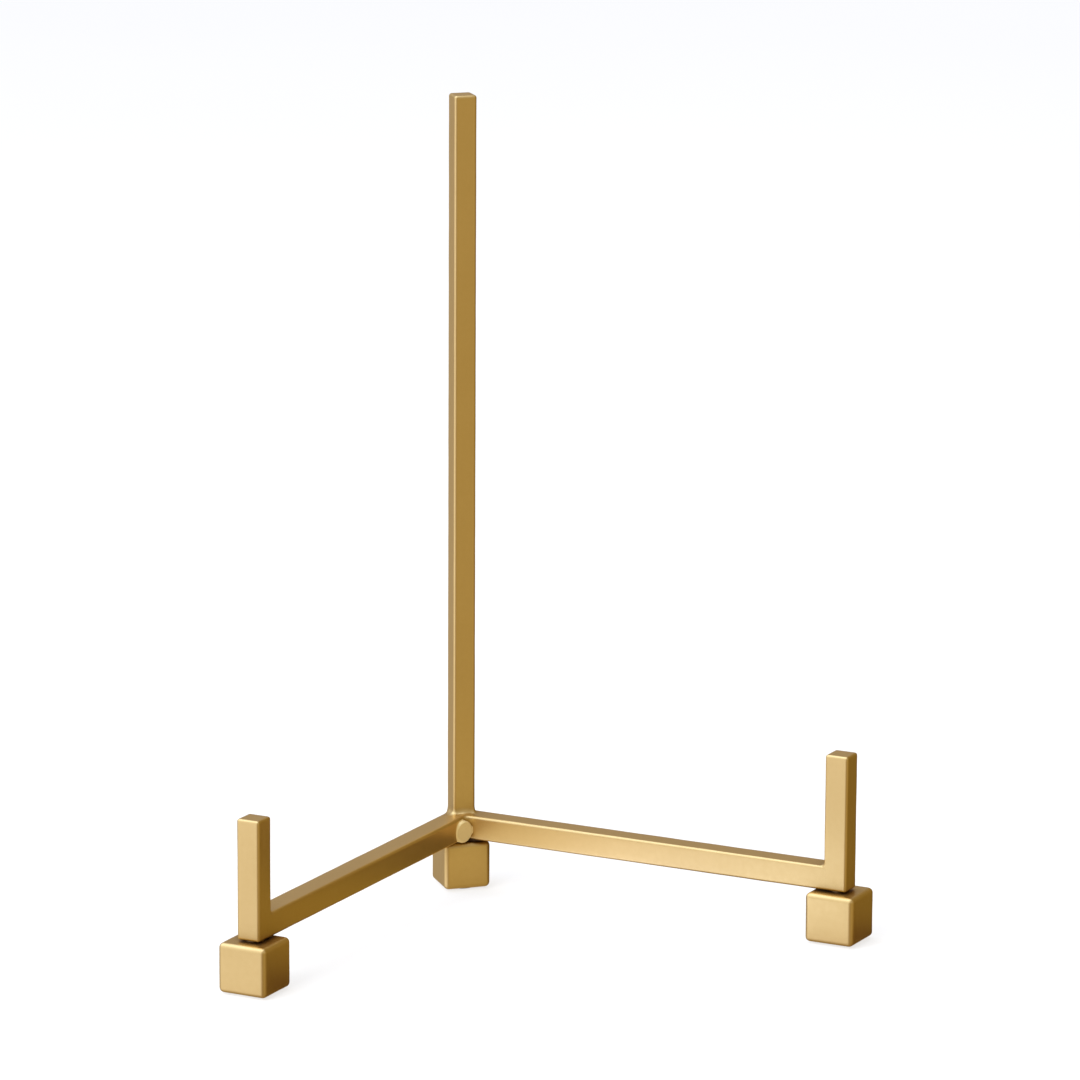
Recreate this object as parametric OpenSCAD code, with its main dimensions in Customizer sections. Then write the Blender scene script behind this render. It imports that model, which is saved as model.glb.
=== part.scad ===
// Tabletop display easel: an upright post and two splayed arms of square bar, each arm
// ending in a short lip, the whole standing on three block feet.
// Origin on the ground under the post's axis. +Z is up and the arms open towards -Y, the front.
// Left (-X) and right (+X) are as seen from the front.

/* [Bar stock] */
// Side of the square bar that the arms and lips are cut from
bar_w = 6.6; // [5.8:0.05:9]
// Side of the square bar that the post is cut from
post_w = 6.15; // [5.5:0.05:9]
// Radius along both bars' long edges
bar_edge_r = 0.75; // [0.2:0.05:0.9]

/* [Stand] */
// Top of the post above the underside of the arms
post_top = 204.5; // [120:0.5:320]
// Distance from the post's axis to each lip's axis
arm_reach = 113.8; // [60:0.1:180]
// Angle between the two arms, seen from above
splay = 90; // [75:1:110]

/* [Lips] */
// Top of the left lip above the underside of the arms
left_lip_top = 32.4; // [15:0.1:60]
// Top of the right lip above the underside of the arms
right_lip_top = 37.2; // [15:0.1:60]

/* [Feet] */
// Width of the foot under each lip
foot_w = 14; // [11:0.1:18]
// Height of the foot under each lip
foot_h = 13.4; // [11:0.1:18]
// Width of the back foot, under the corner of the arms
back_foot_w = 13; // [11:0.1:18]
// How much lower the back foot is than the others
back_foot_drop = 0.4; // [0:0.1:1.5]
// Radius along the feet's edges
foot_edge_r = 1.1; // [0.3:0.05:1.5]
// Space between each lip and its foot, filled by the stud's collar
neck_gap = 0.3; // [0.3:0.1:2]
// Diameter of the foot stud's collar
collar_d = 5.2; // [4.2:0.1:5.5]
// Diameter of the foot stud's threaded ends
stud_d = 3; // [2:0.1:3.5]
// Depth that the stud goes into the foot, and into the lip or the post
stud_engagement = 6; // [4:0.5:9]

/* [Pads] */
// Diameter of the pad under each foot
pad_d = 8.5; // [6:0.5:10]
// Thickness of the pad under each foot
pad_t = 0.5; // [0.4:0.1:1.5]

/* [Corner plug] */
// Diameter of the round plug in the inner corner of the arms
plug_d = 6.1; // [4:0.1:6.3]
// Chamfer round the plug's face
plug_chamfer = 0.4; // [0.2:0.05:1]
// How far the centre of the plug's face stands in front of the inner corner
plug_proud = 3; // [2.5:0.1:5]
// How far the centre of the plug's face lies to the left of the corner
plug_shift = 1.3; // [0:0.1:1.5]
// How far the plug's face is turned to the right
plug_turn = 24; // [0:1:25]
// How far the plug hangs below the underside of the arms
plug_hang = 0.3; // [0:0.05:0.9]

/* [Welds] */
// Leg of the weld round the foot of the post
post_weld_leg = 1.5; // [0.8:0.1:2]
// Leg of the weld between each arm and its lip
lip_weld_leg = 1.2; // [0.6:0.1:2]

/* [Hidden] */

$fn = 64;
arc_steps = 6;       // straight steps in each rounded corner of a bar or a foot
cut_margin = 1;      // how far a cutting shape runs past what it cuts
brass = [0.80, 0.65, 0.38];
steel = [0.70, 0.71, 0.72];
rubber = [0.16, 0.15, 0.14];

foot_base_z = pad_t;
foot_top_z = foot_base_z + foot_h;
back_foot_h = foot_h - back_foot_drop;
back_foot_top_z = foot_base_z + back_foot_h;
bar_base_z = foot_top_z + neck_gap;
bar_top_z = bar_base_z + bar_w;
half_splay = splay / 2;
flat_w = bar_w - 2 * bar_edge_r;             // flat part of an arm's side, between its rounded edges
post_flat_w = post_w - 2 * bar_edge_r;       // and of the post's side
arm_end = arm_reach - bar_w / 2;             // where the arm meets the lip's rear face
inner_corner = bar_w / 2 / sin(half_splay);  // from the post's axis to the corner of the V
corner_box = 4 * bar_w;                      // covers all of the corner, for cutting

// Points of a rectangle with rounded corners, centred on the origin.
function rounded_rectangle_points(width, height, radius) = [
    for (corner = [0:3], step = [0:arc_steps])
        let (
            turn = 90 * corner + 90 * step / arc_steps,
            side_x = (corner == 0 || corner == 3) ? 1 : -1,
            side_y = (corner < 2) ? 1 : -1
        )
        [
            side_x * (width / 2 - radius) + radius * cos(turn),
            side_y * (height / 2 - radius) + radius * sin(turn)
        ]
];

module rounded_rectangle(width, height, radius) {
    polygon(rounded_rectangle_points(width, height, radius));
}

// Square block standing on z = 0 with every edge rounded: one outline crossed from three directions.
module rounded_block(width, height, radius) {
    intersection() {
        linear_extrude(height)
            rounded_rectangle(width, width, radius);
        translate([0, width / 2, height / 2])
            rotate([90, 0, 0])
                linear_extrude(width)
                    rounded_rectangle(width, height, radius);
        translate([-width / 2, 0, height / 2])
            rotate([90, 0, 90])
                linear_extrude(width)
                    rounded_rectangle(width, height, radius);
    }
}

// Turns what stands on the +X axis to lie along the left (-1) or right (+1) arm.
module along_arm(side) {
    rotate([0, 0, side > 0 ? half_splay - 90 : -90 - half_splay]) children();
}

// Upright square bar on the Z axis, starting level with the arms' underside.
module upright_bar(width, top) {
    translate([0, 0, bar_base_z])
        rounded_block(width, top, bar_edge_r);
}

// One arm's bar along +X, from behind the corner to the lip.
module arm_bar() {
    translate([-corner_box / 2, 0, bar_base_z + bar_w / 2])
        rotate([90, 0, 90])
            linear_extrude(arm_end + corner_box / 2)
                rounded_rectangle(bar_w, bar_w, bar_edge_r);
}

// Hole for the threaded end of a foot stud, up into the bars.
module stud_hole(depth) {
    translate([0, 0, bar_base_z - cut_margin])
        cylinder(h = depth + cut_margin, d = stud_d);
}

module arm(side) {
    difference() {
        along_arm(side) arm_bar();
        // the mitre, on the plane between the two arms
        translate([side > 0 ? -corner_box : 0, -corner_box, 0])
            cube([corner_box, 2 * corner_box, bar_top_z + cut_margin]);
        stud_hole(bar_w + cut_margin);
    }
}

module lip(side, top) {
    along_arm(side) translate([arm_reach, 0, 0])
        difference() {
            upright_bar(bar_w, top);
            stud_hole(stud_engagement);
        }
}

// Concave outline of a weld in the angle between a floor (y = 0) and a wall (x = 0).
module weld_outline(leg) {
    difference() {
        square(leg);
        translate([leg, leg]) circle(leg);
    }
}

// Straight weld along Y, centred, between the floor z = 0 and a wall at x = 0.
module straight_weld(leg, length) {
    translate([0, length / 2, 0])
        rotate([90, 0, 0])
            linear_extrude(length)
                weld_outline(leg);
}

module lip_weld(side) {
    along_arm(side)
        translate([arm_end, 0, bar_top_z])
            rotate([0, 0, 180])
                straight_weld(lip_weld_leg, flat_w);
}

// The flat top of the two arms, seen from above, which the post's weld stands on.
module arm_tops_outline() {
    for (side = [-1, 1])
        along_arm(side)
            translate([0, -flat_w / 2])
                square([corner_box, flat_w]);
    circle(d = flat_w);
}

// Stud from inside a foot up into the bars, with a collar in the space between them.
module foot_stud(foot_top, engagement) {
    translate([0, 0, foot_top - stud_engagement])
        cylinder(h = stud_engagement, d = stud_d);
    translate([0, 0, foot_top])
        cylinder(h = bar_base_z - foot_top, d = collar_d);
    translate([0, 0, bar_base_z])
        cylinder(h = engagement, d = stud_d);
}

module foot(width, height) {
    difference() {
        translate([0, 0, foot_base_z])
            rounded_block(width, height, foot_edge_r);
        translate([0, 0, foot_base_z + height - stud_engagement])
            cylinder(h = stud_engagement + cut_margin, d = stud_d);
    }
}

module pad() {
    cylinder(h = pad_t, d = pad_d);
}

// Sets something that stands at the origin under one of the lips.
module under_lip(side) {
    along_arm(side) translate([arm_reach, 0, 0]) children();
}

// The post stands on top of the mitred arms, so its bar is cut off square at their top face.
module post() {
    color(brass)
        difference() {
            upright_bar(post_w, post_top);
            translate([-bar_w, -bar_w, bar_base_z - cut_margin])
                cube([2 * bar_w, 2 * bar_w, bar_w + cut_margin]);
            stud_hole(bar_w + stud_engagement);
        }
}

module left_arm() { color(brass) arm(-1); }
module right_arm() { color(brass) arm(1); }
module left_lip() { color(brass) lip(-1, left_lip_top); }
module right_lip() { color(brass) lip(1, right_lip_top); }

// A short round slug in the inner corner of the arms, cut to the faces it is brazed to.
module corner_plug() {
    lowest_z = bar_base_z - plug_hang;
    face = [-plug_shift, -inner_corner - plug_proud, lowest_z + plug_d / 2];
    color(brass)
        difference() {
            translate(face)
                rotate([90, 0, plug_turn]) {
                    translate([0, 0, -plug_chamfer])
                        cylinder(h = plug_chamfer, d1 = plug_d, d2 = plug_d - 2 * plug_chamfer);
                    translate([0, 0, -bar_w])
                        cylinder(h = bar_w - plug_chamfer, d = plug_d);
                }
            for (side = [-1, 1])
                along_arm(side)
                    translate([-corner_box / 2, -bar_w / 2, bar_base_z - cut_margin])
                        cube([2 * corner_box, bar_w, bar_w + 2 * cut_margin]);
        }
}

// Weld round the post's foot, wherever the arms' tops carry it.
module post_weld() {
    color(brass)
        intersection() {
            translate([0, 0, bar_top_z])
                for (turn = [0:90:270])
                    rotate([0, 0, turn]) {
                        translate([post_w / 2, 0, 0])
                            straight_weld(post_weld_leg, post_flat_w);
                        translate([post_flat_w / 2, post_flat_w / 2, 0])
                            rotate_extrude(angle = 90)
                                translate([bar_edge_r, 0])
                                    weld_outline(post_weld_leg);
                    }
            translate([0, 0, bar_top_z])
                linear_extrude(post_weld_leg)
                    arm_tops_outline();
        }
}

module left_lip_weld() { color(brass) lip_weld(-1); }
module right_lip_weld() { color(brass) lip_weld(1); }

module back_foot_stud() { color(steel) foot_stud(back_foot_top_z, bar_w + stud_engagement); }
module left_foot_stud() { color(steel) under_lip(-1) foot_stud(foot_top_z, stud_engagement); }
module right_foot_stud() { color(steel) under_lip(1) foot_stud(foot_top_z, stud_engagement); }

module back_foot() { color(brass) foot(back_foot_w, back_foot_h); }
module left_foot() { color(brass) under_lip(-1) foot(foot_w, foot_h); }
module right_foot() { color(brass) under_lip(1) foot(foot_w, foot_h); }

module back_foot_pad() { color(rubber) pad(); }
module left_foot_pad() { color(rubber) under_lip(-1) pad(); }
module right_foot_pad() { color(rubber) under_lip(1) pad(); }

post();
left_arm();
right_arm();
left_lip();
right_lip();
corner_plug();
post_weld();
left_lip_weld();
right_lip_weld();
back_foot_stud();
left_foot_stud();
right_foot_stud();
back_foot();
left_foot();
right_foot();
back_foot_pad();
left_foot_pad();
right_foot_pad();
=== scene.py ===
"""Display easel in satin brass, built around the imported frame.

Metres, +Z up, front towards -Y. Every size and place is read from the frame's nodes. The constants
are only finishes: rounded edges, welds, surface texture, the room that the metal mirrors, the
lights and the camera.
"""

import math

import bmesh
import bpy
import numpy as np
from mathutils import Matrix, Vector


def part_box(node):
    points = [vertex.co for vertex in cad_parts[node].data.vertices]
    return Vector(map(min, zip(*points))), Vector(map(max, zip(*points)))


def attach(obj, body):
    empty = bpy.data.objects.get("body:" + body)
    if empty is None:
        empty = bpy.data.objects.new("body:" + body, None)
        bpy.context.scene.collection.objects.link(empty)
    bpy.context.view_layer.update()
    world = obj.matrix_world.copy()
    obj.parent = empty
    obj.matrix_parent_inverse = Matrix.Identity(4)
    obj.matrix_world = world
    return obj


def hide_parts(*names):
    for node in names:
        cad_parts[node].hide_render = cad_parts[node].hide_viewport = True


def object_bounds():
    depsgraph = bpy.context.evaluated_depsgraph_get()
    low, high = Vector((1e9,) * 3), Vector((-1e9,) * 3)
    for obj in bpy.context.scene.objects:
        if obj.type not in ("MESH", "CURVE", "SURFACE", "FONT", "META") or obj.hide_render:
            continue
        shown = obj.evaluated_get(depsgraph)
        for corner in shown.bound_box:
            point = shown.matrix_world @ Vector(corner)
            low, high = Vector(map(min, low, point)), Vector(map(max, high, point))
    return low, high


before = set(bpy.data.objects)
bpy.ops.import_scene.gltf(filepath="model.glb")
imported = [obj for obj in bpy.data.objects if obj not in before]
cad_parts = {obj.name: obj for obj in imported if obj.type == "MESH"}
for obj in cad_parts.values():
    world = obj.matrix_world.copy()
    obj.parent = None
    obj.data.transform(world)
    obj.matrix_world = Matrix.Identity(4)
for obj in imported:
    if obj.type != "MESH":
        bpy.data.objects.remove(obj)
cad_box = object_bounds()

MM = 0.001

# ---------------------------------------------------------------------------------------------
# Finish of the real object
# ---------------------------------------------------------------------------------------------
BAR_EDGE_RADIUS = 0.75 * MM
FOOT_EDGE_RADIUS = 1.35 * MM
PLUG_EDGE_RADIUS = 0.2 * MM
EDGE_SEGMENTS = 6
SMOOTH_ANGLE = 38               # degrees; steeper edges than this stay sharp
THREAD_SMOOTH_ANGLE = 50
BAR_STATIONS = 2.5 * MM         # spacing of the edge loops along a bar
WAVE_HEIGHT = 0.014 * MM        # how far hand finishing leaves the flats out of true
FOOT_WAVE_HEIGHT = 0.021 * MM
WAVE_LENGTH = 11.0 * MM
POST_WELD_REACH = 2.1 * MM      # how far a weld blends up one face and along the next
CORNER_WELD_REACH = 2.4 * MM
LIP_WELD_REACH = 1.5 * MM
LIP_BEAD_TUCK = 0.05 * MM       # how far the bead's hidden sides lie inside the bars
PLUG_BRAZE_REACH = 0.4 * MM
SHARP_REACH = 0.01 * MM         # a blend so short that the corner stays sharp
WELD_UNEVENNESS = 0.16          # how much a weld's reach varies along its run, as a share
WELD_RIPPLE = 2.2               # how much faster than the bars' waves it varies
WELD_STEP = 0.13 * MM           # grid that the weld surfaces are drawn on
WELD_SINK = 0.014 * MM          # how far a weld's hidden part lies under the bars' surfaces
THREAD_PITCH = 0.5 * MM
THREAD_DEPTH = 0.27 * MM
THREAD_ROWS = 6                 # rings of points in each turn of the thread
STUD_SIDES = 40
PAD_RIM = 0.3                   # rounding of a pad's rims, as a share of its thickness
PAD_DISH = 0.15                 # depth of the hollow under a pad, as a share of its thickness
PAD_RIM_STEPS = 4
PAD_SIDES = 64
STUD_CHAMFER = 0.1 * MM
SAME_HEIGHT = 0.01 * MM         # points that differ by less than this lie in one ring
TINY = 0.001 * MM


# ---------------------------------------------------------------------------------------------
# Measures taken from the frame
# ---------------------------------------------------------------------------------------------
def box_size(node):
    low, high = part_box(node)
    return high - low


def box_centre(node):
    low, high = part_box(node)
    return (low + high) / 2


post_w = box_size("post").x
half_post = post_w / 2
bar_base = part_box("left_arm")[0].z
bar_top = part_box("left_arm")[1].z
bar_w = bar_top - bar_base              # the arms and the lips are cut from the same bar
half_w = bar_w / 2
foot_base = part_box("back_foot")[0].z
collar_radius = box_size("back_foot_stud").x / 2
right_lip = box_centre("right_lip")
half_splay = math.atan2(right_lip.x, -right_lip.y)
arm_reach = math.hypot(right_lip.x, right_lip.y)


def radius_at_base(node):
    """Radius of an upright round node at its lowest point."""
    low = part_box(node)[0].z
    centre = box_centre(node)
    ring = [v.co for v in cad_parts[node].data.vertices if v.co.z < low + SAME_HEIGHT]
    return max(math.hypot(co.x - centre.x, co.y - centre.y) for co in ring)


def front_face(node):
    """Centre, outward normal and radius of a node's largest forward-facing flat face."""
    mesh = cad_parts[node].data
    forward = [p for p in mesh.polygons if p.normal.y < -0.5 and abs(p.normal.z) < 0.01]
    faces = {}                              # the mesh's triangles, gathered by the way they face
    for polygon in forward:
        faces.setdefault(round(polygon.normal.x, 2), []).append(polygon)
    face = max(faces.values(), key=lambda parts: sum(p.area for p in parts))
    area = sum(p.area for p in face)
    centre = sum((p.center * p.area for p in face), Vector()) / area
    normal = sum((p.normal * p.area for p in face), Vector()).normalized()
    corners = [mesh.vertices[i].co for p in face for i in p.vertices]
    return centre, normal, max((co - centre).length for co in corners)


stud_radius = radius_at_base("back_foot_stud")
plug_centre, plug_axis, plug_face_radius = front_face("corner_plug")
plug_radius = box_size("corner_plug").z / 2


def along_arm(side):
    """Matrix that lays +X along the left (-1) or right (+1) arm, from the post's axis outwards."""
    turn = half_splay - math.pi / 2 if side > 0 else -math.pi / 2 - half_splay
    return Matrix.Rotation(turn, 4, "Z")


def under_lip(side):
    return along_arm(side) @ Matrix.Translation((arm_reach, 0, 0))


def width_along_arm(node, side):
    """Size of a node that is turned with its arm, measured along that arm."""
    level = along_arm(side).inverted()
    reach = [(level @ v.co).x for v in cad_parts[node].data.vertices]
    return max(reach) - min(reach)


# ---------------------------------------------------------------------------------------------
# Hand-finished surfaces
# ---------------------------------------------------------------------------------------------
WAVES = 9                       # how many plane waves are added up
wave_random = np.random.default_rng(11)
WAVE_DIRECTIONS = wave_random.normal(size=(WAVES, 3))
WAVE_DIRECTIONS /= np.linalg.norm(WAVE_DIRECTIONS, axis=1)[:, None]
WAVE_PHASES = wave_random.uniform(0, 2 * math.pi, WAVES)
WAVE_RATES = 2 * math.pi / WAVE_LENGTH * wave_random.uniform(0.5, 1.6, WAVES)


def wave(points):
    """Smooth unevenness, mostly between -1 and 1, at each point of an (n, 3) array."""
    turns = points @ WAVE_DIRECTIONS.T * WAVE_RATES + WAVE_PHASES
    return np.sin(turns).sum(axis=1) / math.sqrt(WAVES)


def keep_in_box(point):
    """Moves a point that lies outside the frame's box back onto it."""
    for axis in range(3):
        point[axis] = min(max(point[axis], cad_box[0][axis]), cad_box[1][axis])


def roughen(bm, height):
    """Moves each vertex along its normal by the wave."""
    bm.normal_update()
    points = np.array([v.co for v in bm.verts])
    for vertex, lift in zip(bm.verts, wave(points) * height):
        vertex.co += vertex.normal * lift
        keep_in_box(vertex.co)


# ---------------------------------------------------------------------------------------------
# Mesh building
# ---------------------------------------------------------------------------------------------
def finish_piece(bm, name, material, nodes, smooth_angle=SMOOTH_ANGLE):
    """Turns a bmesh into a shaded piece that stands for the given CAD nodes."""
    bmesh.ops.recalc_face_normals(bm, faces=bm.faces)
    mesh = bpy.data.meshes.new(name)
    bm.to_mesh(mesh)
    bm.free()
    for polygon in mesh.polygons:
        polygon.use_smooth = True
    mesh.set_sharp_from_angle(angle=math.radians(smooth_angle))
    piece = bpy.data.objects.new(name, mesh)
    bpy.context.scene.collection.objects.link(piece)
    mesh.materials.append(material)
    weighted = piece.modifiers.new("face_weighted_normals", "WEIGHTED_NORMAL")
    weighted.keep_sharp = True
    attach(piece, "root")
    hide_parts(*nodes)
    return piece


def rounded_box(size, radius, segments=EDGE_SEGMENTS):
    """A box standing on z = 0, centred in x and y, with every edge and corner rounded."""
    bm = bmesh.new()
    bmesh.ops.create_cube(bm, size=1)
    for vertex in bm.verts:
        x, y, z = vertex.co
        vertex.co = Vector((x * size[0], y * size[1], (z + 0.5) * size[2]))
    bmesh.ops.bevel(
        bm, geom=list(bm.edges), offset=radius, segments=segments, profile=0.5, affect="EDGES",
        clamp_overlap=True,
    )
    return bm


def slice_across(bm, axis, positions):
    """Adds an edge loop at each position along an axis, so that the surface can be shaped."""
    normal = Vector([1.0 if i == axis else 0.0 for i in range(3)])
    for position in positions:
        geometry = list(bm.verts) + list(bm.edges) + list(bm.faces)
        bmesh.ops.bisect_plane(bm, geom=geometry, plane_co=normal * position, plane_no=normal)


def evenly(low, high, spacing):
    """Positions between low and high, leaving out both ends, about spacing apart."""
    count = max(1, round((high - low) / spacing))
    return [low + (high - low) * i / count for i in range(1, count)]


def cut_away(bm, point, normal):
    """Cuts off what lies on the normal's side of a plane and closes the cut."""
    geometry = list(bm.verts) + list(bm.edges) + list(bm.faces)
    result = bmesh.ops.bisect_plane(
        bm, geom=geometry, plane_co=point, plane_no=normal, clear_outer=True
    )
    rim = [e for e in result["geom_cut"] if isinstance(e, bmesh.types.BMEdge)]
    bmesh.ops.contextual_create(bm, geom=rim)


def drill(piece, centre, low, high):
    """Cuts an upright hole for a stud, from low to high, with a boolean that is applied at once."""
    bm = bmesh.new()
    bmesh.ops.create_cone(
        bm, cap_ends=True, segments=STUD_SIDES, radius1=stud_radius, radius2=stud_radius,
        depth=high - low, matrix=Matrix.Translation((centre.x, centre.y, (low + high) / 2)),
    )
    mesh = bpy.data.meshes.new("drill")
    bm.to_mesh(mesh)
    bm.free()
    tool = bpy.data.objects.new("drill", mesh)
    bpy.context.scene.collection.objects.link(tool)
    hole = piece.modifiers.new("hole", "BOOLEAN")
    hole.object = tool
    hole.operation = "DIFFERENCE"
    hole.solver = "EXACT"
    while piece.modifiers[0] != hole:
        piece.modifiers.move(piece.modifiers.find(hole.name), 0)
    weighted = piece.modifiers["face_weighted_normals"]
    weighted.show_viewport = False
    bpy.context.view_layer.update()
    drilled = piece.evaluated_get(bpy.context.evaluated_depsgraph_get())
    shaped = bpy.data.meshes.new_from_object(drilled)
    piece.modifiers.remove(hole)
    piece.data = shaped
    shaped.name = piece.name
    shaped.set_sharp_from_angle(angle=math.radians(SMOOTH_ANGLE))
    weighted.show_viewport = True
    bpy.data.objects.remove(tool)


# ---------------------------------------------------------------------------------------------
# Smooth welds: signed distances to the bars, blended where they meet
# ---------------------------------------------------------------------------------------------
def rounded_corner(a, b, radius):
    """Distance to the edge where faces at distances a and b meet, rounded by radius."""
    outside = np.hypot(np.maximum(a + radius, 0), np.maximum(b + radius, 0))
    return outside + np.minimum(np.maximum(a + radius, b + radius), 0) - radius


def blend_union(a, b, reach):
    """Smooth union of two distances: a fillet fills the angle between the two surfaces."""
    share = np.maximum(reach - np.abs(a - b), 0) / reach
    return np.minimum(a, b) - share * share * reach / 4


def inner_faces(x, y):
    """Distances in front of the right and the left arm's inner face, seen from above."""
    across, along = math.cos(half_splay), math.sin(half_splay)
    return -x * across - y * along - half_w, x * across - y * along - half_w


def arms_distance(x, y, z, corner_reach=SHARP_REACH):
    """The two mitred arms near the corner, as one V; its inner corner is filled by corner_reach."""
    right, left = inner_faces(x, y)
    outer = np.maximum(-right, -left) - bar_w
    outline = np.maximum(outer, blend_union(right, left, corner_reach))
    height = np.abs(z - (bar_base + bar_top) / 2) - half_w
    return rounded_corner(outline, height, BAR_EDGE_RADIUS)


def post_distance(x, y, z):
    sides = rounded_corner(np.abs(x) - half_post, np.abs(y) - half_post, BAR_EDGE_RADIUS)
    return np.maximum(sides, bar_top - z)


def plug_distance(x, y, z):
    """The plug as a cylinder whose rim is chamfered to the face's radius."""
    depth = (x - plug_centre.x) * plug_axis.x + (y - plug_centre.y) * plug_axis.y
    sideways = (x - plug_centre.x) * plug_axis.y - (y - plug_centre.y) * plug_axis.x
    radial = np.hypot(sideways, z - plug_centre.z)
    body = rounded_corner(radial - plug_radius, depth, PLUG_EDGE_RADIUS)
    rim = (radial - plug_face_radius + depth) / math.sqrt(2)
    return np.maximum(np.maximum(body, rim), -depth - bar_w)


def close_ends(values, step):
    """Makes the outer layer of a grid of distances lie outside, so that its surface is closed."""
    for axis in range(3):
        for end in (0, -1):
            layer = [slice(None)] * 3
            layer[axis] = end
            values[tuple(layer)] = np.maximum(values[tuple(layer)], step)


def mean_crossings(values, cells):
    """For each cell, the sum and the count of the places where the surface cuts its edges."""
    inside = values < 0
    total = np.zeros(cells + (3,))
    count = np.zeros(cells)

    def corner(array, offset):
        return array[tuple(slice(o, o + n) for o, n in zip(offset, cells))]

    for axis in range(3):
        others = [a for a in range(3) if a != axis]
        for first in (0, 1):
            for second in (0, 1):
                start = [0, 0, 0]
                start[others[0]], start[others[1]] = first, second
                end = list(start)
                end[axis] = 1
                value, next_value = corner(values, start), corner(values, end)
                crossed = corner(inside, start) != corner(inside, end)
                place = np.zeros(cells + (3,))
                place[..., others[0]] = first
                place[..., others[1]] = second
                place[..., axis] = value / np.where(crossed, value - next_value, 1.0)
                total += np.where(crossed[..., None], place, 0)
                count += crossed
    return total, count


def surface_mesh(distance, low, high, step=WELD_STEP):
    """Closed bmesh of the surface where distance(x, y, z) is zero, by surface nets."""
    axes = [np.arange(a - step, b + 2 * step, step) for a, b in zip(low, high)]
    values = distance(*np.meshgrid(*axes, indexing="ij"))
    close_ends(values, step)
    cells = tuple(n - 1 for n in values.shape)
    total, count = mean_crossings(values, cells)
    used = count > 0
    number = np.full(cells, -1)
    number[used] = np.arange(used.sum())
    base = np.stack([axes[i][np.nonzero(used)[i]] for i in range(3)], axis=1)
    points = base + total[used] / count[used][:, None] * step

    # each grid edge that the surface cuts gives one face, between the four cells round that edge
    bm = bmesh.new()
    vertices = [bm.verts.new(p) for p in points]
    inside = values < 0
    for axis in range(3):
        u, v = (axis + 1) % 3, (axis + 2) % 3
        for index in np.argwhere(inside != np.roll(inside, -1, axis=axis)):
            ring = []
            for du, dv in ((1, 1), (0, 1), (0, 0), (1, 0)):
                cell = index.copy()
                cell[u] -= du
                cell[v] -= dv
                ring.append(vertices[number[tuple(cell)]])
            if not inside[tuple(index)]:
                ring.reverse()
            bm.faces.new(ring)
    return bm


def wave_on_grid(x, y, z, crowding=1.0):
    """The wave at each point of a grid; crowding shortens its length."""
    points = np.stack([x.ravel(), y.ravel(), z.ravel()], axis=1)
    return wave(points * crowding).reshape(x.shape)


# ---------------------------------------------------------------------------------------------
# Materials
# ---------------------------------------------------------------------------------------------
def new_tree(material):
    material.use_nodes = True
    material.node_tree.nodes.clear()
    return material.node_tree


def add(tree, kind, inputs=None, **settings):
    """Adds a node, sets its properties, and fills or links its inputs by name or number."""
    node = tree.nodes.new(kind)
    for key, value in settings.items():
        setattr(node, key, value)
    for key, value in (inputs or {}).items():
        if isinstance(value, bpy.types.NodeSocket):
            tree.links.new(value, node.inputs[key])
        else:
            node.inputs[key].default_value = value
    return node


def noise(tree, scale, detail=2.0, roughness=0.5, distortion=0.0):
    """Noise in the object's own space, with its scale in features per metre."""
    place = add(tree, "ShaderNodeTexCoord").outputs["Object"]
    node = add(tree, "ShaderNodeTexNoise", {
        "Vector": place, "Scale": scale, "Detail": detail, "Roughness": roughness,
        "Distortion": distortion,
    })
    return node.outputs["Fac"]


def spread(tree, value, low, high, from_low=0.3, from_high=0.7):
    """Maps a noise value onto the range low to high."""
    node = add(tree, "ShaderNodeMapRange", {
        "Value": value, "From Min": from_low, "From Max": from_high, "To Min": low, "To Max": high,
    })
    return node.outputs["Result"]


def mix_colour(tree, share, first, second):
    node = add(tree, "ShaderNodeMix", {"Factor": share, "A": first, "B": second}, data_type="RGBA")
    return node.outputs["Result"]


def bump(tree, height, distance, normal=None):
    inputs = {"Height": height, "Distance": distance, "Strength": 1.0}
    if normal is not None:
        inputs["Normal"] = normal
    return add(tree, "ShaderNodeBump", inputs).outputs["Normal"]


# Noise scales are in features per metre, and tones are linear red, green, blue and alpha.
CLOUDS = 45                     # slow change of tone along the bars
MOTTLE = 620                    # small spots, in tone and in gloss
PEEL = 900                      # orange peel of the lacquer
PEEL_HEIGHT = 0.009 * MM
GRAIN = 7000                    # finest scratches under the lacquer
GRAIN_HEIGHT = 0.002 * MM
DEEP_SHARE = 0.2                # most of the deep tone that the mottle mixes in
COAT = {"Coat Weight": 0.12, "Coat Roughness": 0.28, "Coat IOR": 1.5}
PAINTED_SHADE_REACH = 13.0 * MM       # how far from another surface the painted shade starts to darken the finish
PAINTED_SHADE_OPENNESS = (0.3, 0.9)   # openness at which the painted shade is full, and at which there is none
# colour of the painted shade that darkens the finish where other surfaces are near
PAINTED_SHADE_TONE = (0.26, 0.13, 0.01, 1)
BAR_TONES = ((0.84, 0.615, 0.26, 1), (0.88, 0.65, 0.285, 1), (0.78, 0.56, 0.22, 1))
BAR_ROUGHNESS = (0.32, 0.39)
# the plug's brass: a paler, brighter copy of the bars', a painted highlight so its face reads lighter
PLUG_PAINTED_LIGHT_TONES = ((0.99, 0.80, 0.40, 1), (1.0, 0.84, 0.45, 1), (0.97, 0.75, 0.34, 1))
BRAZED_ROUGHNESS = (0.55, 0.62)
STEEL_TONES = ((0.34, 0.25, 0.13, 1), (0.46, 0.35, 0.19, 1))
TURNING_MARKS = 5200
RUBBER_TONES = ((0.020, 0.019, 0.018, 1), (0.040, 0.037, 0.034, 1))
RUBBER_GRAIN = 3200


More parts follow.
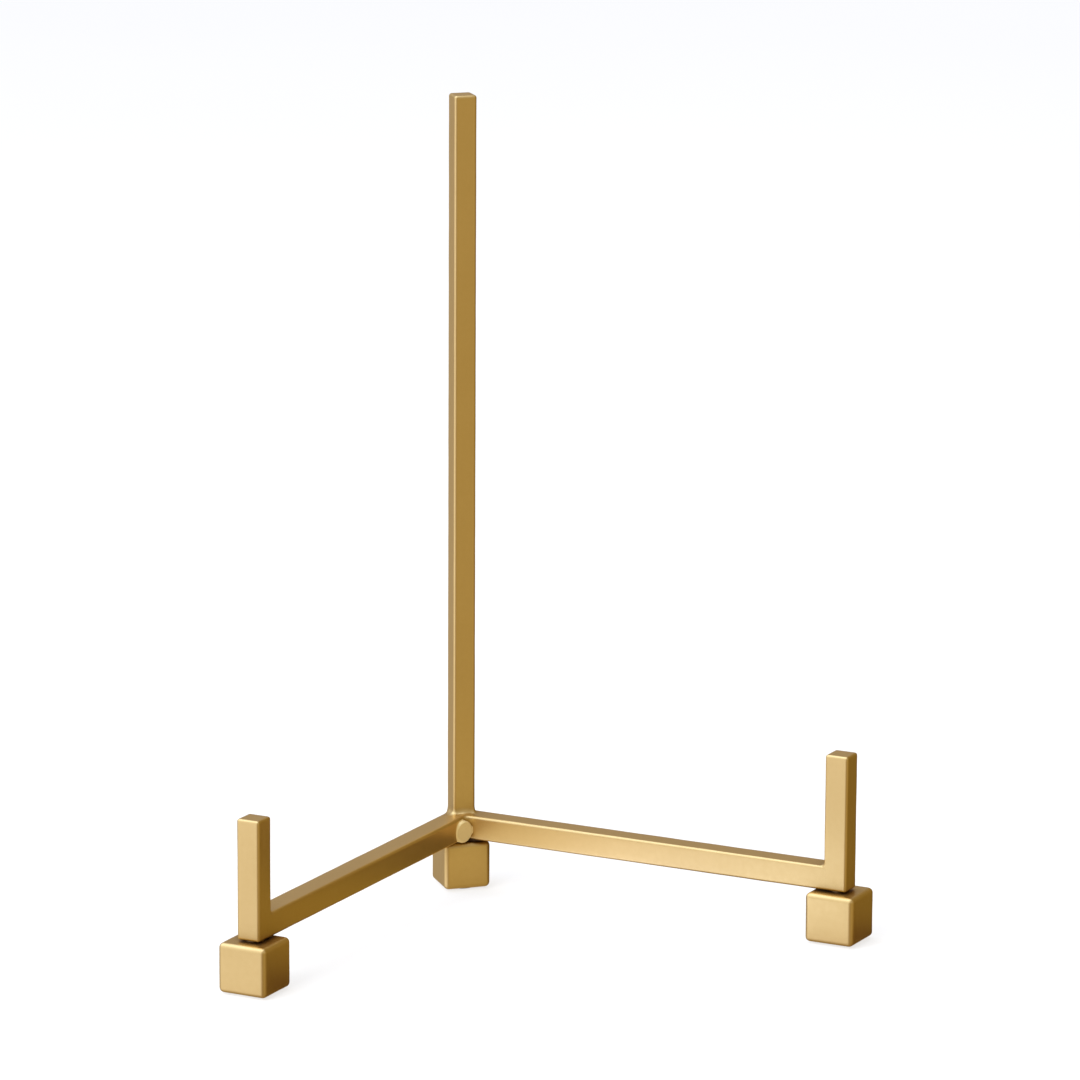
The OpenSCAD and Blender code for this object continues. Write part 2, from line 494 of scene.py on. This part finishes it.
def satin_brass(name, tones, painted_shade_depth, roughness_range, metallic=1.0):
    """Lacquered satin brass: a cloudy warm base with painted shade in its crevices, under a fine peel."""
    material = bpy.data.materials.new(name)
    tree = new_tree(material)
    light, pale, deep = tones
    clouds = spread(tree, noise(tree, CLOUDS, detail=3), 0, 1)
    mottle = spread(tree, noise(tree, MOTTLE, detail=4, roughness=0.6), 0, 1)
    base = mix_colour(tree, clouds, light, pale)
    base = mix_colour(tree, spread(tree, mottle, 0, DEEP_SHARE, 0, 1), base, deep)
    # Painted shade: near other surfaces, the AO node mixes the base towards a dark tone, for shade in
    # corners.
    openness = add(tree, "ShaderNodeAmbientOcclusion", {"Distance": PAINTED_SHADE_REACH}, samples=6)
    painted_shade_share = spread(tree, openness.outputs["AO"], painted_shade_depth, 0, *PAINTED_SHADE_OPENNESS)
    base = mix_colour(tree, painted_shade_share, base, PAINTED_SHADE_TONE)
    peel = bump(tree, noise(tree, PEEL, detail=2), PEEL_HEIGHT)
    grain = bump(tree, noise(tree, GRAIN, detail=3, roughness=0.7), GRAIN_HEIGHT, peel)
    surface = add(tree, "ShaderNodeBsdfPrincipled", {
        "Base Color": base, "Metallic": metallic, "Normal": grain, "Coat Normal": peel,
        "Roughness": spread(tree, mottle, *roughness_range, 0, 1), **COAT,
    })
    add(tree, "ShaderNodeOutputMaterial", {"Surface": surface.outputs["BSDF"]})
    return material


def turned_steel():
    """Turned steel under the feet's tinted lacquer, with fine marks."""
    material = bpy.data.materials.new("turned_steel")
    tree = new_tree(material)
    rings = noise(tree, TURNING_MARKS, detail=2)
    tone = mix_colour(tree, spread(tree, noise(tree, 800), 0, 1), *STEEL_TONES)
    surface = add(tree, "ShaderNodeBsdfPrincipled", {
        "Base Color": tone, "Metallic": 1.0, "Roughness": spread(tree, rings, 0.28, 0.42),
        "Normal": bump(tree, rings, 0.004 * MM),
    })
    add(tree, "ShaderNodeOutputMaterial", {"Surface": surface.outputs["BSDF"]})
    return material


def pad_rubber():
    """Matt black rubber with a fine moulded grain."""
    material = bpy.data.materials.new("pad_rubber")
    tree = new_tree(material)
    grain = noise(tree, RUBBER_GRAIN, detail=3, roughness=0.7)
    tone = mix_colour(tree, spread(tree, noise(tree, 260), 0, 1), *RUBBER_TONES)
    surface = add(tree, "ShaderNodeBsdfPrincipled", {
        "Base Color": tone, "Roughness": spread(tree, grain, 0.62, 0.85),
        "Normal": bump(tree, grain, 0.03 * MM),
    })
    add(tree, "ShaderNodeOutputMaterial", {"Surface": surface.outputs["BSDF"]})
    return material


# the bars get painted shade in their crevices, up to 0.85 of the way to its dark tone
BRASS = satin_brass("satin_brass", BAR_TONES, 0.85, BAR_ROUGHNESS)
PLUG_PAINTED_LIGHT_BRASS = satin_brass("plug_brass_painted_light", PLUG_PAINTED_LIGHT_TONES, 0.0, BRAZED_ROUGHNESS, metallic=0.75)
STEEL = turned_steel()
RUBBER = pad_rubber()


# ---------------------------------------------------------------------------------------------
# Bars
# ---------------------------------------------------------------------------------------------
FLAT_CUTS = (-0.2, 0.2)         # lengthwise loops on a bar's flats, as shares of its width
FOOT_CUTS = (-0.6, -0.2, 0.2, 0.6)      # loops on a foot's flats, as shares of half the flat


def upright_bar(name, node, matrix, width, cut_square=False):
    """A square bar standing on its node's base: the post, or a lip at the end of an arm."""
    low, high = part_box(node)
    below = width if cut_square else 0
    bm = rounded_box((width, width, high.z - low.z + below), BAR_EDGE_RADIUS)
    bmesh.ops.translate(bm, verts=bm.verts, vec=(0, 0, low.z - below))
    slice_across(bm, 2, evenly(low.z - below, high.z, BAR_STATIONS))
    for axis in (0, 1):
        slice_across(bm, axis, [share * width for share in FLAT_CUTS])
    if cut_square:
        cut_away(bm, Vector((0, 0, low.z)), Vector((0, 0, -1)))
    bmesh.ops.transform(bm, matrix=matrix, verts=bm.verts)
    roughen(bm, WAVE_HEIGHT)
    return finish_piece(bm, name, BRASS, [node])


def arm_bar(name, node, side):
    """A square bar from the mitre under the post to just inside the lip's rounded rear edge."""
    reach = arm_reach - half_w + BAR_EDGE_RADIUS
    spare = 2 * bar_w
    bm = rounded_box((bar_w, bar_w, reach + 2 * spare), BAR_EDGE_RADIUS)
    slice_across(bm, 2, evenly(0, reach + 2 * spare, BAR_STATIONS))
    for axis in (0, 1):
        slice_across(bm, axis, [share * bar_w for share in FLAT_CUTS])
    start = Matrix.Translation((-spare, 0, (bar_base + bar_top) / 2))
    lay_down = Matrix.Rotation(math.pi / 2, 4, "Y")
    bmesh.ops.transform(bm, matrix=start @ lay_down, verts=bm.verts)
    cut_away(bm, Vector((reach, 0, 0)), Vector((1, 0, 0)))
    bmesh.ops.transform(bm, matrix=along_arm(side), verts=bm.verts)
    cut_away(bm, Vector((0, 0, 0)), Vector((-side, 0, 0)))
    roughen(bm, WAVE_HEIGHT)
    return finish_piece(bm, name, BRASS, [node])


def build_bars():
    post = upright_bar("post_bar", "post", Matrix(), post_w, cut_square=True)
    post_hole_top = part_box("back_foot_stud")[1].z
    drill(post, Vector(), bar_top - bar_w, post_hole_top)
    for side, word in ((-1, "left"), (1, "right")):
        arm = arm_bar(f"{word}_arm_bar", f"{word}_arm", side)
        drill(arm, Vector(), bar_base - bar_w, bar_top + bar_w)
        lip = upright_bar(f"{word}_lip_bar", f"{word}_lip", under_lip(side), bar_w)
        hole_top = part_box(f"{word}_foot_stud")[1].z
        drill(lip, under_lip(side).translation, bar_base - bar_w, hole_top)


# ---------------------------------------------------------------------------------------------
# Welds and the corner plug
# ---------------------------------------------------------------------------------------------
WELD_ZONE = 1.15                # how far past its reach a weld is rooted under the bars
POST_WELD_ROOM = 1.4            # how far past its reach the grid round a weld runs
LIP_WELD_ROOM = 1.5


def uneven_reach(reach, x, y, z):
    """A weld's reach at each point of a grid, varying as it does where it was laid by hand."""
    return reach * (1 + WELD_UNEVENNESS * wave_on_grid(x, y, z, WELD_RIPPLE))


def build_post_weld():
    """One run of weld round the post's foot and down the inner corner of the arms."""
    def bead(x, y, z):
        arms = arms_distance(x, y, z, CORNER_WELD_REACH)
        post = post_distance(x, y, z)
        reach = uneven_reach(POST_WELD_REACH, x, y, z)
        skin = blend_union(arms, post, reach) + WELD_SINK - WAVE_HEIGHT * wave_on_grid(x, y, z)
        right, left = inner_faces(x, y)
        near_post = np.abs(arms - post) - WELD_ZONE * reach
        near_corner = np.abs(right - left) - WELD_ZONE * CORNER_WELD_REACH
        return np.maximum(skin, np.minimum(near_post, near_corner))

    spread_out = half_post + POST_WELD_ROOM * POST_WELD_REACH
    low = (-spread_out, -spread_out - CORNER_WELD_REACH, bar_base - 2 * WELD_STEP)
    high = (spread_out, spread_out, bar_top + POST_WELD_ROOM * POST_WELD_REACH)
    bm = surface_mesh(bead, low, high)
    finish_piece(bm, "post_weld_bead", BRASS, ["post_weld"])


def build_lip_weld(side, word):
    """The bead in the angle on top of an arm's end and its lip, worked out in the lip's own frame."""
    place = under_lip(side)

    def bead(x, y, z):
        world = [place[i][0] * x + place[i][1] * y + place[i][3] for i in (0, 1)]
        reach = uneven_reach(LIP_WELD_REACH, *world, z)
        outline = blend_union(z - bar_top, -x - half_w, reach)
        outline = np.maximum(outline, np.maximum(x - half_w, bar_base - z + LIP_BEAD_TUCK))
        sides = np.abs(y) - half_w + np.where(z < bar_top, LIP_BEAD_TUCK, 0)
        skin = rounded_corner(outline, sides, BAR_EDGE_RADIUS) + WELD_SINK
        skin -= WAVE_HEIGHT * wave_on_grid(*world, z)
        return np.maximum(skin, np.abs(x + half_w) - WELD_ZONE * LIP_WELD_REACH)

    span = LIP_WELD_ROOM * LIP_WELD_REACH
    low = (-half_w - span, -half_w - 2 * WELD_STEP, bar_base - 2 * WELD_STEP)
    high = (-half_w + span, half_w + 2 * WELD_STEP, bar_top + span)
    bm = surface_mesh(bead, low, high)
    bmesh.ops.transform(bm, matrix=place, verts=bm.verts)
    finish_piece(bm, f"{word}_lip_weld_bead", BRASS, [f"{word}_lip_weld"])


def build_corner_plug():
    """The plug with a narrow fillet of braze where it meets the arms."""
    def plug(x, y, z):
        arms, slug = arms_distance(x, y, z), plug_distance(x, y, z)
        bars = arms + 2 * WELD_SINK - WAVE_HEIGHT * wave_on_grid(x, y, z)
        skin = blend_union(bars, slug, PLUG_BRAZE_REACH)
        return np.maximum(skin, np.maximum(slug - PLUG_BRAZE_REACH, -arms - PLUG_BRAZE_REACH))

    room = plug_radius + 2 * PLUG_BRAZE_REACH
    low = (plug_centre.x - room, plug_centre.y - plug_radius, plug_centre.z - room)
    high = (plug_centre.x + room, plug_centre.y + plug_radius + bar_w, plug_centre.z + room)
    bm = surface_mesh(plug, low, high)
    finish_piece(bm, "corner_plug_slug", PLUG_PAINTED_LIGHT_BRASS, ["corner_plug"])


# ---------------------------------------------------------------------------------------------
# Feet, their studs and pads
# ---------------------------------------------------------------------------------------------
def lathe(rows, steps, radius_of):
    """Closed round bmesh about the Z axis; radius_of(turn, row) gives the radius at each point."""
    bm = bmesh.new()
    rings = []
    for row, z in enumerate(rows):
        ring = []
        for step in range(steps):
            turn = 2 * math.pi * step / steps
            radius = radius_of(turn, row)
            ring.append(bm.verts.new((radius * math.cos(turn), radius * math.sin(turn), z)))
        rings.append(ring)
    for lower, upper in zip(rings, rings[1:]):
        for step in range(steps):
            after = (step + 1) % steps
            bm.faces.new((lower[step], lower[after], upper[after], upper[step]))
    bm.faces.new(list(reversed(rings[0])))
    bm.faces.new(rings[-1])
    return bm


def build_stud(name, node, foot, matrix):
    """A stud threaded at both ends, with a plain round collar in the gap over the foot."""
    base, top = (corner.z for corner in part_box(node))
    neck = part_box(foot)[1].z
    rows = list(np.arange(base, top, THREAD_PITCH / THREAD_ROWS)) + [top]
    rim = collar_radius - STUD_CHAMFER
    collar = [
        (neck, None), (neck, rim), (neck + STUD_CHAMFER, collar_radius),
        (bar_base - STUD_CHAMFER, collar_radius), (bar_base, rim), (bar_base, None),
    ]
    # height and plain radius of each ring of points; a ring without a radius belongs to the thread
    profile = [(z, None) for z in rows if z < neck - TINY]
    profile += collar
    profile += [(z, None) for z in rows if z > bar_base + TINY]

    def radius_of(turn, row):
        z, plain = profile[row]
        if plain is not None:
            return plain
        phase = (z / THREAD_PITCH - turn / (2 * math.pi)) % 1
        from_end = min(z - base, top - z)
        lead = max(0.0, 1 - from_end / (1.5 * THREAD_DEPTH))
        groove = abs(2 * phase - 1) * THREAD_DEPTH
        return stud_radius - max(groove, lead * THREAD_DEPTH)

    bm = lathe([z for z, _ in profile], STUD_SIDES, radius_of)
    bmesh.ops.transform(bm, matrix=matrix, verts=bm.verts)
    finish_piece(bm, name, STEEL, [node], smooth_angle=THREAD_SMOOTH_ANGLE)


def build_foot(name, node, width, matrix):
    """A block with soft edges and slightly uneven faces, drilled for its stud."""
    height = box_size(node).z
    bm = rounded_box((width, width, height), FOOT_EDGE_RADIUS)
    bmesh.ops.translate(bm, verts=bm.verts, vec=(0, 0, foot_base))
    for axis, middle, size in ((0, 0, width), (1, 0, width), (2, foot_base + height / 2, height)):
        flat = size / 2 - FOOT_EDGE_RADIUS
        slice_across(bm, axis, [middle + flat * share for share in FOOT_CUTS])
    bmesh.ops.transform(bm, matrix=matrix, verts=bm.verts)
    roughen(bm, FOOT_WAVE_HEIGHT)
    piece = finish_piece(bm, name, BRASS, [node])
    drill(piece, matrix.translation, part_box(f"{node}_stud")[0].z, bar_base)


def build_pad(name, node, matrix):
    """A thin round rubber pad with rounded rims, dished slightly underneath."""
    low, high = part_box(node)
    radius = (high.x - low.x) / 2
    thick = high.z - low.z
    rim = PAD_RIM * thick
    dish = PAD_DISH * thick
    profile = [(dish, 0.55 * radius), (0.5 * dish, 0.7 * radius), (0, 0.8 * radius), (0, radius - rim)]
    for step in range(1, PAD_RIM_STEPS + 1):
        turn = math.pi / 2 * step / PAD_RIM_STEPS
        profile.append((rim * (1 - math.cos(turn)), radius - rim * (1 - math.sin(turn))))
    profile += [(thick - rim, radius), (thick - 0.3 * rim, radius - 0.3 * rim), (thick, radius - rim)]
    bm = lathe([low.z + z for z, _ in profile], PAD_SIDES, lambda turn, row: profile[row][1])
    bmesh.ops.transform(bm, matrix=matrix, verts=bm.verts)
    finish_piece(bm, name, RUBBER, [node])


def build_feet():
    feet = (
        ("back", box_size("back_foot").x, Matrix()),
        ("left", width_along_arm("left_foot", -1), under_lip(-1)),
        ("right", width_along_arm("right_foot", 1), under_lip(1)),
    )
    for word, width, matrix in feet:
        build_foot(f"{word}_foot_block", f"{word}_foot", width, matrix)
        build_stud(f"{word}_foot_threaded_stud", f"{word}_foot_stud", f"{word}_foot", matrix)
        build_pad(f"{word}_foot_rubber_pad", f"{word}_foot_pad", matrix)


# ---------------------------------------------------------------------------------------------
# Studio
# ---------------------------------------------------------------------------------------------
def towards(azimuth, elevation):
    """Unit vector from the object to a place round it; azimuth 0 is the front, 90 the right."""
    a, e = math.radians(azimuth), math.radians(elevation)
    return Vector((math.sin(a) * math.cos(e), -math.cos(a) * math.cos(e), math.sin(e)))


# What the metal reflects: azimuth and elevation of the middle of each tone, and its colour.
ROOM_SHARPNESS = 8.0            # a higher number makes the tones meet more abruptly
ROOM_TONES = (
    (-72.5, -16, (1.00, 0.99, 1.12)),     # floor to the left, next to the key light
    (107.5, -16, (0.165, 0.098, 0.0)),    # dark warm floor to the right
    (17.5, -16, (0.50, 0.39, 0.17)),      # floor in front
    (-17.5, -16, (0.24, 0.15, 0.03)),     # floor between the stand and the camera
    (-162.5, -16, (0.40, 0.345, 0.28)),   # floor behind
    (162.5, 16, (0.38, 0.32, 0.265)),     # wall behind
    (-104, 59, (1.6, 1.8, 2.3)),          # ceiling light to the left
    (118, 26, (0.28, 0.19, 0.04)),        # wall to the right
    (65, -16, (0.32, 0.22, 0.06)),        # floor in front, to the right
    (-70, 20, (0.9, 0.9, 0.95)),          # wall to the left
    (20, 30, (0.5, 0.45, 0.36)),          # wall in front
    (0, -90, (0.4, 0.3, 0.15)),           # floor right under the stand
)


def mix_shader(tree, share, first, second):
    return add(tree, "ShaderNodeMixShader", {"Fac": share, 1: first, 2: second}).outputs["Shader"]


def vector_math(tree, operation, first, second):
    node = add(tree, "ShaderNodeVectorMath", {0: first, 1: second}, operation=operation)
    return node.outputs["Vector"]


def scaled(tree, vector, scale):
    node = add(tree, "ShaderNodeVectorMath", {0: vector, "Scale": scale}, operation="SCALE")
    return node.outputs["Vector"]


def room_light(tree, direction):
    """Colour of the room in a direction: ROOM_TONES, each fading smoothly into its neighbours."""
    total, light = None, None
    for azimuth, elevation, tone in ROOM_TONES:
        middle = towards(azimuth, elevation)
        near = add(tree, "ShaderNodeVectorMath", {0: direction, 1: middle}, operation="DOT_PRODUCT")
        power = add(tree, "ShaderNodeMath", {
            0: near.outputs["Value"], 1: ROOM_SHARPNESS, 2: -ROOM_SHARPNESS,
        }, operation="MULTIPLY_ADD").outputs["Value"]
        weight = add(tree, "ShaderNodeMath", {0: power}, operation="EXPONENT").outputs["Value"]
        share = scaled(tree, tone, weight)
        if total is None:
            total, light = weight, share
            continue
        total = add(tree, "ShaderNodeMath", {0: total, 1: weight}, operation="ADD").outputs["Value"]
        light = vector_math(tree, "ADD", light, share)
    inverse = add(tree, "ShaderNodeMath", {0: 1.0, 1: total}, operation="DIVIDE").outputs["Value"]
    return scaled(tree, light, inverse)


# Painted pools of shade and light on the floor, seen only in the metal's reflections: darker close to
# the stand, a painted shadow, and lighter where the floor is lit, painted light: x, y and radius in arm
# lengths, and what each colour is multiplied by in the middle.
FLOOR_SHADES = (
    (-0.50, -0.33, 0.27, (0.64, 0.48, 0.12)),   # inside the left arm
    (0.46, 0.04, 0.34, (0.34, 0.24, 0.10)),     # behind the right arm
    (0.60, -0.35, 0.28, (0.34, 0.23, 0.08)),    # inside the right arm
    (-0.58, -0.72, 0.14, (0.50, 0.36, 0.18)),   # next to the left foot
    (0.81, -0.73, 0.14, (0.50, 0.36, 0.18)),    # next to the right foot
    (-0.22, -0.47, 0.22, (1.38, 1.40, 1.46)),   # lit floor between the arms
    (0.17, -0.82, 0.22, (1.55, 1.70, 2.00)),    # and towards the right foot
    (0.12, -0.36, 0.22, (1.46, 1.58, 2.00)),    # and in front of the corner
    (-0.14, -1.06, 0.30, (0.66, 0.62, 0.54)),   # floor in front of them
    (-0.75, -1.15, 0.35, (0.86, 0.84, 0.80)),   # and farther to the left
    (-1.50, -0.92, 0.26, (0.72, 0.68, 0.60)),   # floor to the left of the left foot
)


def floor_shade(tree):
    """What the metal's view of the floor is multiplied by at each place: all the painted pools together.
    """
    place = add(tree, "ShaderNodeNewGeometry").outputs["Position"]
    shade = None
    for x, y, radius, tone in FLOOR_SHADES:
        centre = (x * arm_reach, y * arm_reach, 0)
        away = add(tree, "ShaderNodeVectorMath", {0: place, 1: centre}, operation="DISTANCE")
        share = add(tree, "ShaderNodeMath", {
            0: away.outputs["Value"], 1: radius * arm_reach,
        }, operation="DIVIDE").outputs["Value"]
        square = add(tree, "ShaderNodeMath", {0: share, 1: share}, operation="MULTIPLY")
        falloff = add(tree, "ShaderNodeMath", {
            0: math.e ** -1, 1: square.outputs["Value"],
        }, operation="POWER").outputs["Value"]
        pool = mix_colour(tree, falloff, (1, 1, 1, 1), tone + (1,))
        shade = pool if shade is None else vector_math(tree, "MULTIPLY", shade, pool)
    return shade


FLOOR_SIZE = 8                  # metres from the middle to each side
FLOOR_GLOW = 0.72               # how much of the floor's white is its own, so that shadows stay faint


def build_floor():
    """A pale floor with faint shadows, clear from below; reflections see the room's tones instead."""
    material = bpy.data.materials.new("pale_floor")
    tree = new_tree(material)
    cloth = noise(tree, 3, detail=2)
    shades = ((0.93, 0.93, 0.93, 1), (0.96, 0.96, 0.96, 1))
    pale = mix_colour(tree, spread(tree, cloth, 0, 1), *shades)
    lit = add(tree, "ShaderNodeBsdfDiffuse", {"Color": pale}).outputs["BSDF"]
    glow = add(tree, "ShaderNodeEmission", {"Color": (1, 1, 1, 1), "Strength": 1.0}).outputs["Emission"]
    seen = mix_shader(tree, FLOOR_GLOW, lit, glow)
    # reflections of the floor: the room's tones through the painted pools of shade and light
    reflected = add(tree, "ShaderNodeBsdfTransparent", {"Color": floor_shade(tree)}).outputs["BSDF"]
    glossy = add(tree, "ShaderNodeLightPath").outputs["Is Glossy Ray"]
    from_above = mix_shader(tree, glossy, seen, reflected)
    from_below = add(tree, "ShaderNodeBsdfTransparent", {"Color": (1, 1, 1, 1)}).outputs["BSDF"]
    underneath = add(tree, "ShaderNodeNewGeometry").outputs["Backfacing"]
    surface = mix_shader(tree, underneath, from_above, from_below)
    add(tree, "ShaderNodeOutputMaterial", {"Surface": surface})
    bm = bmesh.new()
    bmesh.ops.create_grid(bm, x_segments=1, y_segments=1, size=FLOOR_SIZE)
    mesh = bpy.data.meshes.new("floor")
    bm.to_mesh(mesh)
    bm.free()
    mesh.materials.append(material)
    floor = bpy.data.objects.new("floor", mesh)
    floor.location.z = cad_box[0].z
    floor.visible_shadow = False            # so that the painted crevice shade on the metal doesn't count it
    bpy.context.scene.collection.objects.link(floor)


def build_world():
    """White to the camera; to the metal, a room whose tones differ from side to side."""
    world = bpy.data.worlds.new("studio")
    bpy.context.scene.world = world
    tree = new_tree(world)
    direction = add(tree, "ShaderNodeTexCoord").outputs["Generated"]
    room = add(tree, "ShaderNodeBackground", {"Color": room_light(tree, direction), "Strength": 1.0})
    white = add(tree, "ShaderNodeBackground", {"Color": (1, 1, 1, 1), "Strength": 1.0})
    camera_ray = add(tree, "ShaderNodeLightPath").outputs["Is Camera Ray"]
    surface = mix_shader(tree, camera_ray, room.outputs["Background"], white.outputs["Background"])
    add(tree, "ShaderNodeOutputWorld", {"Surface": surface})


def softbox(name, azimuth, elevation, distance, size, power, colour=(1, 1, 1)):
    """An area light aimed at the middle of the object, in metres and watts, which metal doesn't mirror."""
    light = bpy.data.lights.new(name, "AREA")
    light.shape = "RECTANGLE"
    light.size, light.size_y = size
    light.energy = power
    light.color = colour
    lamp = bpy.data.objects.new(name, light)
    back = towards(azimuth, elevation)
    middle = (cad_box[0] + cad_box[1]) / 2
    lamp.location = middle + back * distance
    lamp.rotation_mode = "QUATERNION"
    lamp.rotation_quaternion = (-back).to_track_quat("-Z", "Y")
    lamp.visible_glossy = False
    bpy.context.scene.collection.objects.link(lamp)


def build_lights():
    softbox("key_left", -62, 30, 1.1, (0.75, 0.9), 13)
    softbox("top_back", 160, 62, 1.2, (1.2, 0.8), 6, (1.0, 0.96, 0.93))
    softbox("front_fill", 15, 25, 1.6, (0.7, 0.7), 3, (1.0, 0.95, 0.88))


# The camera is a little above the stand and to its left, on a long lens. Angles are in degrees.
CAMERA_AIM = Vector((0, 0, foot_base + 3 * bar_w))      # the place that its angles are taken from
CAMERA_AZIMUTH = -17.06
CAMERA_ELEVATION = 15.36
CAMERA_DISTANCE = 270 * bar_w
AXIS_AZIMUTH = -17.766          # the lens points a little to the right of the post and above the feet
AXIS_ELEVATION = 12.96
CAMERA_ROLL = 0.289
CAMERA_LENS = 217.24            # millimetres, for a sensor 36 mm wide


def build_camera():
    data = bpy.data.cameras.new("camera")
    data.sensor_width = 36
    data.lens = CAMERA_LENS
    camera = bpy.data.objects.new("camera", data)
    camera.location = CAMERA_AIM + towards(CAMERA_AZIMUTH, CAMERA_ELEVATION) * CAMERA_DISTANCE
    camera.rotation_mode = "QUATERNION"
    level = (-towards(AXIS_AZIMUTH, AXIS_ELEVATION)).to_track_quat("-Z", "Y")
    roll = Matrix.Rotation(math.radians(CAMERA_ROLL), 3, "Z").to_quaternion()
    camera.rotation_quaternion = level @ roll
    bpy.context.scene.collection.objects.link(camera)
    bpy.context.scene.camera = camera


build_bars()
build_post_weld()
build_lip_weld(-1, "left")
build_lip_weld(1, "right")
build_corner_plug()
build_feet()
build_floor()
build_world()
build_lights()
build_camera()
bpy.context.scene.view_settings.view_transform = "Standard"
